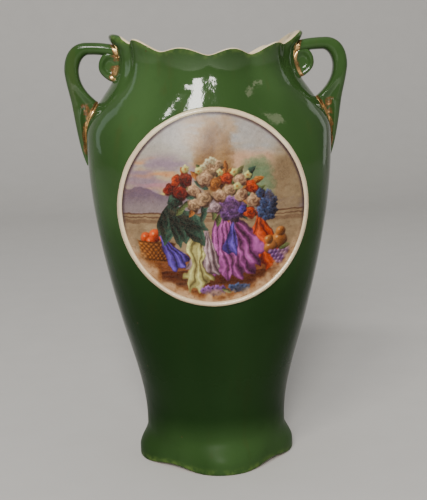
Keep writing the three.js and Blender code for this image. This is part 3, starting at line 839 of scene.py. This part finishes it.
def paint_basket(canvas):
    """A low wicker basket of oranges at the left."""
    oranges = [(-0.74, -0.29, 0.062), (-0.64, -0.265, 0.066), (-0.54, -0.29, 0.06), (-0.69, -0.33, 0.055)]
    for x, z, size in oranges:
        paint_ball(canvas, x, z, size, ORANGE)
    u, v = canvas.local(-0.64, -0.43, 0.21, 0.1, -4)
    flare = 0.84 + 0.14 * np.clip(v, -1, 1)
    mask = canvas.inside(np.maximum(np.abs(u) / flare, np.abs(v)), 0.1)
    row = np.floor(v * 3.5)
    weave = 0.5 + 0.5 * np.cos(22 * u / flare + math.pi * row)
    rod = 0.5 + 0.5 * np.cos(2 * math.pi * v * 3.5)
    canvas.lay(mask, tone(WICKER, 0.2 + 0.5 * weave * (1 - 0.5 * rod) - 0.25 * u))
    canvas.lay(mask * smooth(np.abs(v), 0.8, 0.95), np.asarray(WICKER) * 0.45, 0.6)


def paint_cloths(canvas):
    paint_drape(canvas, -0.60, -0.24, 0.46, 30, 20, VIOLET, 3, 5)
    paint_drape(canvas, 0.46, 0.06, 0.72, 8, 17, ORANGE, 4, 9)
    paint_drape(canvas, 0.06, 0.10, 0.86, 16, 31, PURPLE, 6, 13)
    paint_drape(canvas, -0.10, -0.18, 0.56, -3, 26, PEARL, 4, 17)
    paint_drape(canvas, 0.20, -0.08, 0.42, -6, 15, VIOLET, 2, 23)
    paint_drape(canvas, -0.24, 0.06, 0.94, -2, 11, STRAW, 3, 29)


def paint_bouquet(canvas):
    for index in range(9):
        turn = -112 + 9 * index
        length = 0.2 + 0.05 * math.sin(index * 2.3)
        middle_x = -0.45 + 0.012 * index + length * math.cos(math.radians(turn))
        middle_z = 0.10 - 0.012 * index + length * math.sin(math.radians(turn))
        paint_leaf(canvas, middle_x, middle_z, length, turn, TEAL)
    for index in range(38):
        turn = index * 137.5
        reach = 0.16 + 0.30 * math.sqrt(index / 38)
        x = 0.04 + reach * 1.15 * math.cos(math.radians(turn))
        z = 0.17 + reach * 0.62 * math.sin(math.radians(turn))
        paint_leaf(canvas, x, z, 0.085, turn + 14 * math.sin(index), (LEAF, TEAL, WICKER)[index % 3])
    paint_cluster(canvas, 0.57, 0.02, 0.10, 0.15, BLUE, 34)
    paint_cluster(canvas, 0.18, 0.00, 0.14, 0.12, LILAC, 46)
    paint_cluster(canvas, -0.02, 0.43, 0.11, 0.09, IVORY, 22)
    roses = [
        (-0.42, 0.10, 0.075, TEAL), (-0.47, 0.22, 0.070, MAROON), (-0.36, 0.18, 0.085, MAROON),
        (-0.30, 0.31, 0.080, MAROON), (-0.40, 0.31, 0.060, ORANGE), (-0.22, 0.20, 0.070, PEACH),
        (-0.22, 0.05, 0.075, IVORY), (-0.10, 0.31, 0.085, PEACH), (-0.11, 0.12, 0.090, IVORY),
        (0.03, 0.26, 0.080, WICKER), (0.00, 0.02, 0.070, PEARL), (0.05, 0.14, 0.075, PEACH),
        (0.14, 0.32, 0.070, ORANGE), (0.17, 0.20, 0.070, IVORY), (0.29, 0.14, 0.075, PEACH),
        (0.28, 0.29, 0.070, PEACH), (0.40, 0.22, 0.075, ORANGE), (0.42, 0.08, 0.080, PEACH),
        (0.38, -0.05, 0.070, ORANGE), (0.50, 0.16, 0.055, BLUE), (0.30, -0.01, 0.055, VIOLET),
    ]
    for x, z, size, colour in roses:
        paint_rose(canvas, x, z, size, colour)
    small = [(-0.16, 0.40), (0.07, 0.38), (0.22, 0.38), (0.36, 0.34), (-0.30, 0.42), (0.24, 0.23)]
    for x, z in small:
        paint_blossom(canvas, x, z, 0.042, STRAW, WICKER)


def paint_fruit(canvas):
    """Pears and grapes at the right, and fallen blossoms on the ground."""
    pears = [(0.70, -0.36, 0.085), (0.715, -0.27, 0.055), (0.60, -0.42, 0.07), (0.585, -0.345, 0.045)]
    for x, z, size in pears:
        paint_ball(canvas, x, z, size, WICKER)
    for row in range(4):
        for place in range(5 - row):
            paint_ball(canvas, 0.70 + 0.044 * (place - (4 - row) / 2), -0.47 - 0.04 * row, 0.027, LILAC)
    paint_leaf(canvas, 0.76, -0.43, 0.07, 20, LEAF)
    paint_cluster(canvas, -0.02, -0.87, 0.13, 0.035, LILAC, 18)
    paint_cluster(canvas, 0.26, -0.85, 0.10, 0.03, BLUE, 11)
    paint_leaf(canvas, 0.12, -0.88, 0.06, 160, LEAF)


def paint_edges(canvas):
    """A painted shadow of the bead as a dark line inside it on the upper half, the print's worn lower border
    and a little dirt.
    """
    x, z = canvas.plain_x, canvas.plain_z
    radius = np.hypot(x, z)
    # Painted shadow: a dark line just inside the bead, on its upper half only
    canvas.lay(smooth(radius, 0.955, 0.99) * smooth(z, -0.45, 0.1), (84, 72, 78), 0.85)
    worn = clouds(x, z, 0.08, 61)
    fade = smooth(radius + 0.16 * (worn - 0.5), 0.86, 1.0) * (1 - smooth(z, -0.62, -0.1))
    canvas.lay(fade, (214, 182, 148), 0.9)
    specks = clouds(x, z, 0.014, 71)
    canvas.lay(smooth(specks, 0.70, 0.8) * fade, (116, 70, 44), 0.7)
    canvas.lay(smooth(specks, 0.8, 0.86), (90, 60, 46), 0.3)


def paint_picture(x, z):
    """The picture as linear light, one colour for each point of the field."""
    canvas = Canvas(x, z)
    ground = (paint_sky, paint_country, paint_ground)
    for paint_layer in (*ground, paint_basket, paint_cloths, paint_bouquet, paint_fruit, paint_edges):
        paint_layer(canvas)
    grain = 0.5 * cloud(x, z, 0.010, 81) + 0.5 * cloud(x, z, 0.028, 83)
    faded = (canvas.colour - 128) * 1.22 + 122
    faded = faded * (0.76 + 0.14 * grain[:, None]) - 14
    srgb = np.clip(faded / 255, 0, 1)
    return np.where(srgb <= 0.04045, srgb / 12.92, ((srgb + 0.055) / 1.055) ** 2.4)


def make_medallion_field():
    """The painted field: a square grid drawn out to a disc, so that its cells stay even."""
    line = np.linspace(-1, 1, PICTURE_CELLS + 1)
    u, v = np.meshgrid(line, line)
    x = (u * np.sqrt(1 - v * v / 2)).ravel()
    z = (v * np.sqrt(1 - u * u / 2)).ravel()
    half_width = MEDALLION_HALF_WIDTH - BEAD_WIDTH + FIELD_OVERLAP
    half_height = MEDALLION_HALF_HEIGHT - BEAD_WIDTH + FIELD_OVERLAP
    place_x = x * half_width - MEDALLION_SET_LEFT
    place_z = z * half_height + MEDALLION_HEIGHT
    depth = front_depth(place_x, place_z) + FIELD_STAND - FIELD_CLEAR
    points = np.stack([place_x, -depth, place_z], -1)
    side = PICTURE_CELLS + 1
    corner = np.arange(side * side).reshape(side, side)
    faces = np.stack([corner[:-1, :-1], corner[:-1, 1:], corner[1:, 1:], corner[1:, :-1]], -1).reshape(-1, 4)
    field = mesh_object("medallion_field", points, faces.tolist(), paint_picture(x, z))
    return field


# Materials
class Nodes:
    """Short words for building a node tree."""

    def __init__(self, name):
        self.material = bpy.data.materials.new(name)
        self.material.use_nodes = True
        self.tree = self.material.node_tree
        self.skin = self.tree.nodes["Principled BSDF"].inputs

    def finished(self, looks):
        """The material with these values on the inputs of its shader."""
        for name, value in looks.items():
            self.link(value, self.skin[name])
        return self.material

    def link(self, value, socket):
        if isinstance(value, bpy.types.NodeSocket):
            self.tree.links.new(value, socket)
        else:
            socket.default_value = value

    def add(self, kind, inputs, **settings):
        """The outputs of a new node with these inputs and settings."""
        node = self.tree.nodes.new(kind)
        for name, value in settings.items():
            setattr(node, name, value)
        for name, value in inputs.items():
            self.link(value, node.inputs[name])
        return node.outputs

    def place(self):
        return self.add("ShaderNodeTexCoord", {})["Object"]

    def height(self, vector):
        return self.add("ShaderNodeSeparateXYZ", {"Vector": vector})["Z"]

    def stretch(self, vector, scale):
        return self.add("ShaderNodeMapping", {"Vector": vector, "Scale": scale})["Vector"]

    def noise(self, vector, scale, detail=3.0, rough=0.55):
        inputs = {"Vector": vector, "Scale": scale, "Detail": detail, "Roughness": rough}
        return self.add("ShaderNodeTexNoise", inputs)["Fac"]

    def cells(self, vector, scale):
        return self.add("ShaderNodeTexVoronoi", {"Vector": vector, "Scale": scale})["Distance"]

    def step(self, value, low, high, start=0.0, end=1.0):
        inputs = {"Value": value, "From Min": low, "From Max": high, "To Min": start, "To Max": end}
        return self.add("ShaderNodeMapRange", inputs, interpolation_type="SMOOTHSTEP")["Result"]

    def math(self, kind, first, second):
        return self.add("ShaderNodeMath", {0: first, 1: second}, operation=kind)[0]

    def times(self, first, second):
        return self.math("MULTIPLY", first, second)

    def mix(self, share, low, high):
        """A colour between two colours."""
        low, high = (item if isinstance(item, bpy.types.NodeSocket) else (*item, 1) for item in (low, high))
        return self.add("ShaderNodeMix", {"Factor": share, "A": low, "B": high}, data_type="RGBA")["Result"]

    def lift(self, share, low, high):
        """A number between two numbers."""
        return self.add("ShaderNodeMix", {"Factor": share, "A": low, "B": high}, data_type="FLOAT")["Result"]

    def attribute(self, name):
        return self.add("ShaderNodeAttribute", {}, attribute_name=name)

    def split(self, colour):
        return self.add("ShaderNodeSeparateColor", {"Color": colour})

    def bump(self, height, distance, strength=1.0, normal=None):
        inputs = {"Height": height, "Distance": distance, "Strength": strength}
        if normal is not None:
            inputs["Normal"] = normal
        return self.add("ShaderNodeBump", inputs)["Normal"]


def paint(*srgb):
    """An sRGB colour from 0 to 255 as linear light."""
    return tuple((c / 255 / 12.92) if c <= 10 else ((c / 255 + 0.055) / 1.055) ** 2.4 for c in srgb)


GREEN = paint(54, 79, 42)
DARK_GREEN = paint(41, 64, 30)
# The darkest green is painted shade for the lower body
PAINTED_SHADE_GREEN = paint(8, 28, 6)
PALE_GREEN = paint(88, 110, 52)
BROWN = paint(70, 56, 26)
CREAM = paint(214, 200, 168)
CLAY = paint(176, 150, 116)
GOLD = paint(216, 178, 122)
RUBBED = paint(98, 62, 38)

# Heights in metres between which the glaze and its painted shade change
PAINTED_SHADE_FADES = (0.09, 0.19)
FOOT_SHADE_RISES = (0.012, 0.035)
LOW_DULLNESS = (0.02, 0.12)
BELLY_SHINES = (0.14, 0.205)
FOOT_SHINES = (0.02, 0.05)
TOP_DULLS = (0.240, 0.249)


def glaze_material():
    """Green glaze with painted shade on the lower body, going cream on the lip and inside, bare under the
    foot and gilded at the joints.
    """
    n = Nodes("green_glaze_finish")
    where = n.place()
    broad = n.noise(n.stretch(where, (1, 1, 0.5)), 16, 2)
    mottle = n.noise(where, 90, 4, 0.6)
    streak = n.noise(n.stretch(where, (1, 1, 0.07)), 130, 3)
    green = n.mix(n.step(broad, 0.35, 0.65), DARK_GREEN, GREEN)
    green = n.mix(n.times(n.step(mottle, 0.5, 0.75), 0.35), green, DARK_GREEN)
    green = n.mix(n.times(n.step(streak, 0.56, 0.72), 0.14), green, BROWN)
    height = n.height(where)
    # Painted shade: the lower body is painted darker green, less so at the bottom of the foot
    painted_low_shade = n.times(n.step(height, *PAINTED_SHADE_FADES, 1, 0), n.step(height, *FOOT_SHADE_RISES, 0.3, 1))
    green = n.mix(n.times(painted_low_shade, 0.82), green, PAINTED_SHADE_GREEN)
    finish = n.split(n.attribute("finish")["Color"])
    ragged = n.noise(where, 260, 3)
    thin = n.times(finish["Green"], n.step(ragged, 0.35, 0.7))
    green = n.mix(n.times(thin, 0.55), green, PALE_GREEN)
    pits = n.step(n.cells(where, 115), 0.035, 0.07, 1, 0)
    rare = n.times(pits, n.step(n.noise(where, 40, 1), 0.56, 0.6))
    green = n.mix(n.times(rare, 0.7), green, BROWN)
    cream = n.mix(n.step(n.noise(where, 60, 3), 0.4, 0.7), CREAM, paint(196, 176, 138))
    wobble = n.math("SUBTRACT", n.times(ragged, 0.5), 0.25)
    cream_mask = n.step(n.math("ADD", finish["Red"], wobble), 0.42, 0.6)
    colour = n.mix(cream_mask, green, cream)
    bare_mask = n.step(n.math("ADD", finish["Blue"], wobble), 0.4, 0.6)
    clay = n.mix(n.step(n.noise(where, 300, 3), 0.35, 0.7), CLAY, paint(140, 112, 82))
    colour = n.mix(bare_mask, colour, clay)
    gilt = n.attribute("gilt")["Fac"]
    wear = n.step(n.noise(where, 700, 3), 0.3, 0.62)
    worn = n.times(gilt, n.math("ADD", wear, 0.35))
    gilt_mask = n.step(worn, 0.42, 0.66)
    colour = n.mix(n.times(n.step(worn, 0.08, 0.34), 0.8), colour, RUBBED)
    colour = n.mix(gilt_mask, colour, n.mix(n.step(mottle, 0.4, 0.7), GOLD, paint(164, 116, 66)))
    gloss = n.lift(n.step(mottle, 0.3, 0.8), 0.05, 0.10)
    gloss = n.math("ADD", gloss, n.step(height, *LOW_DULLNESS, 0.3, 0))
    gloss = n.lift(gilt_mask, gloss, 0.3)
    mirror = n.times(n.step(height, *BELLY_SHINES, 0.1, 0.5), n.step(height, *FOOT_SHINES, 0.4, 1))
    mirror = n.times(mirror, n.step(height, *TOP_DULLS, 1, 0.4))
    waves = n.bump(n.noise(where, 34, 2), 0.0022, 0.3)
    ripples = n.bump(n.noise(where, 150, 2), 0.0004, 0.16, waves)
    peel = n.bump(n.noise(where, 420, 2), 0.0001, 0.4, ripples)
    return n.finished({
        "Base Color": colour,
        "Metallic": n.times(gilt_mask, 0.9),
        "Roughness": n.lift(bare_mask, gloss, 0.75),
        "IOR": 1.4,
        "Specular IOR Level": mirror,
        "Normal": n.bump(n.math("SUBTRACT", 1.0, rare), 0.0003, 0.6, peel),
    })


def gilding_material():
    """Worn gilding: warm metal, rubbed through to brown in places."""
    n = Nodes("worn_gilding_finish")
    where = n.place()
    rub = n.step(n.noise(where, 420, 4, 0.6), 0.42, 0.62)
    return n.finished({
        "Base Color": n.mix(rub, GOLD, paint(112, 76, 38)),
        "Metallic": n.lift(rub, 0.95, 0.35),
        "Roughness": n.lift(rub, 0.22, 0.42),
        "Normal": n.bump(n.noise(where, 900, 3), 0.0002, 0.5),
    })


def bead_material():
    """Cream glaze on the bead, painted browner towards its bottom as painted shade, with the green running
    unevenly over its outer edge.
    """
    n = Nodes("cream_glaze_finish")
    where = n.place()
    finish = n.split(n.attribute("finish")["Color"])
    ragged = n.noise(where, 120, 4, 0.6)
    cream = n.mix(n.step(n.noise(where, 45, 3), 0.35, 0.7), CREAM, paint(196, 174, 146))
    grime = n.times(n.step(n.noise(where, 520, 3), 0.62, 0.75), 0.5)
    cream = n.mix(grime, cream, paint(120, 92, 66))
    # Painted shade: browner towards the bottom of the bead
    cream = n.mix(n.times(finish["Green"], 0.35), cream, paint(168, 134, 98))
    edge = n.math("ADD", finish["Red"], n.times(n.math("SUBTRACT", ragged, 0.5), 0.35))
    return n.finished({
        "Base Color": n.mix(n.step(edge, 0.84, 0.93), cream, GREEN),
        "Roughness": n.lift(n.step(ragged, 0.3, 0.7), 0.12, 0.24),
        "IOR": 1.5,
        "Normal": n.bump(n.noise(where, 160, 3), 0.0004, 0.4),
    })


def picture_material():
    """The printed and painted field under its glaze, with the fine grain of a printed transfer."""
    n = Nodes("painted_medallion_finish")
    where = n.place()
    picture = n.attribute("finish")["Color"]
    dots = n.noise(where, 1500, 2)
    aged = n.mix(n.times(n.step(dots, 0.4, 0.7), 0.12), picture, paint(116, 88, 66))
    stain = n.step(n.noise(where, 55, 4, 0.6), 0.52, 0.75)
    aged = n.mix(n.times(stain, 0.14), aged, paint(150, 116, 80))
    specks = n.step(n.cells(where, 260), 0.03, 0.06, 1, 0)
    rare = n.times(specks, n.step(n.noise(where, 90, 2), 0.6, 0.64))
    return n.finished({
        "Base Color": n.mix(n.times(rare, 0.6), aged, paint(70, 50, 40)),
        "Roughness": n.lift(n.step(dots, 0.3, 0.7), 0.26, 0.36),
        "IOR": 1.3,
        "Normal": n.bump(n.noise(where, 240, 3), 0.0002, 0.35),
    })


def floor_material():
    n = Nodes("studio_floor_finish")
    colour = n.mix(n.noise(n.place(), 30, 3), (0.50, 0.49, 0.475), (0.54, 0.53, 0.515))
    return n.finished({"Base Color": colour, "Roughness": 0.75})


def dress(piece, material):
    piece.data.materials.clear()
    piece.data.materials.append(material)


FLOOR_FRONT = -3.0
FLOOR_HALF_WIDTH = 4.0
SWEEP_START = 1.2
SWEEP_RADIUS = 0.8
SWEEP_TOP = 4.0


def make_floor():
    """A floor that sweeps up behind the vase."""
    rows = [(FLOOR_FRONT, 0.0), (SWEEP_START, 0.0)]
    for turn in np.linspace(0.1, math.pi / 2, 12):
        rows.append((SWEEP_START + SWEEP_RADIUS * math.sin(turn), SWEEP_RADIUS * (1 - math.cos(turn))))
    rows.append((SWEEP_START + SWEEP_RADIUS, SWEEP_TOP))
    points = [(x, y, z) for y, z in rows for x in (-FLOOR_HALF_WIDTH, FLOOR_HALF_WIDTH)]
    faces = [(2 * i, 2 * i + 1, 2 * i + 3, 2 * i + 2) for i in range(len(rows) - 1)]
    mesh = bpy.data.meshes.new("studio_floor")
    mesh.from_pydata(points, [], faces)
    mesh.shade_smooth()
    floor = bpy.data.objects.new("studio_floor", mesh)
    bpy.context.scene.collection.objects.link(floor)
    dress(floor, floor_material())


# Camera where the photographer stood: its place in metres, and its turns in radians
CAMERA_PLACE = Vector((-0.0327, -0.6392 + SET_BACK * MM, 0.2325))
CAMERA_PAN = -0.053
CAMERA_PITCH = 0.162
CAMERA_ROLL = -0.027
FOCAL_PIXELS = 1050.6
IMAGE_HEIGHT = 500
SENSOR = 36.0


def make_camera():
    forward = Vector((-math.sin(CAMERA_PAN) * math.cos(CAMERA_PITCH),
                      math.cos(CAMERA_PAN) * math.cos(CAMERA_PITCH), -math.sin(CAMERA_PITCH)))
    level = Vector((math.cos(CAMERA_PAN), math.sin(CAMERA_PAN), 0))
    upright = level.cross(forward)
    right = level * math.cos(CAMERA_ROLL) + upright * math.sin(CAMERA_ROLL)
    up = upright * math.cos(CAMERA_ROLL) - level * math.sin(CAMERA_ROLL)
    turn = Matrix((right, up, -forward)).transposed()
    data = bpy.data.cameras.new("camera")
    data.sensor_fit = "VERTICAL"
    data.sensor_height = SENSOR
    data.lens = FOCAL_PIXELS / IMAGE_HEIGHT * SENSOR
    data.clip_start = 0.01
    camera = bpy.data.objects.new("camera", data)
    camera.matrix_world = Matrix.Translation(CAMERA_PLACE) @ turn.to_4x4()
    bpy.context.scene.collection.objects.link(camera)
    bpy.context.scene.camera = camera


STUDIO_MIDDLE = Vector((0, 0, 0.15))
WARM_WHITE = (1, 0.97, 0.92)


def add_softbox(name, place, width, height, power, colour=(1, 1, 1)):
    data = bpy.data.lights.new(name, "AREA")
    data.shape = "RECTANGLE"
    data.size = width
    data.size_y = height
    data.energy = power
    data.color = colour
    light = bpy.data.objects.new(name, data)
    light.location = place
    light.rotation_euler = (STUDIO_MIDDLE - Vector(place)).to_track_quat("-Z", "Y").to_euler()
    bpy.context.scene.collection.objects.link(light)


def make_studio():
    add_softbox("key_softbox_upper", (-0.80, -1.98, 2.08), 0.62, 0.30, 26, WARM_WHITE)
    add_softbox("key_softbox_lower", (-0.62, -2.20, 1.30), 0.40, 0.26, 14, WARM_WHITE)
    add_softbox("key_softbox_right", (-0.22, -2.35, 1.29), 0.44, 0.96, 76, WARM_WHITE)
    add_softbox("left_softbox", (-1.3, 0.5, 0.7), 0.3, 1.0, 0.9, (0.85, 0.93, 1))
    add_softbox("right_softbox", (1.25, 0.8, 0.4), 0.3, 1.2, 0.9)
    add_softbox("warm_softbox", (1.62, -1.43, 1.74), 0.6, 0.2, 1.4, (1, 0.86, 0.66))
    add_softbox("top_softbox", (0.0, -0.1, 2.4), 2.6, 2.6, 12)
    world = bpy.data.worlds.new("studio")
    world.use_nodes = True
    background = world.node_tree.nodes["Background"].inputs
    background["Color"].default_value = (0.5, 0.5, 0.5, 1)
    background["Strength"].default_value = 0.3
    bpy.context.scene.world = world


make_camera()
make_floor()
make_studio()
glaze = glaze_material()
gilding = gilding_material()
dress(make_body(), glaze)
for side, word in ((1, "right"), (-1, "left")):
    strap, strap_points, strap_gap, strap_along = make_strap(side, f"handle_{word}")
    dress(strap, glaze)
    dress(make_scroll(side, f"scroll_{word}"), glaze)
    dress(make_gilt_seam(f"gilt_seam_{word}", strap_points, strap_gap, strap_along), gilding)
dress(make_medallion_bead(), bead_material())
dress(make_medallion_field(), picture_material())
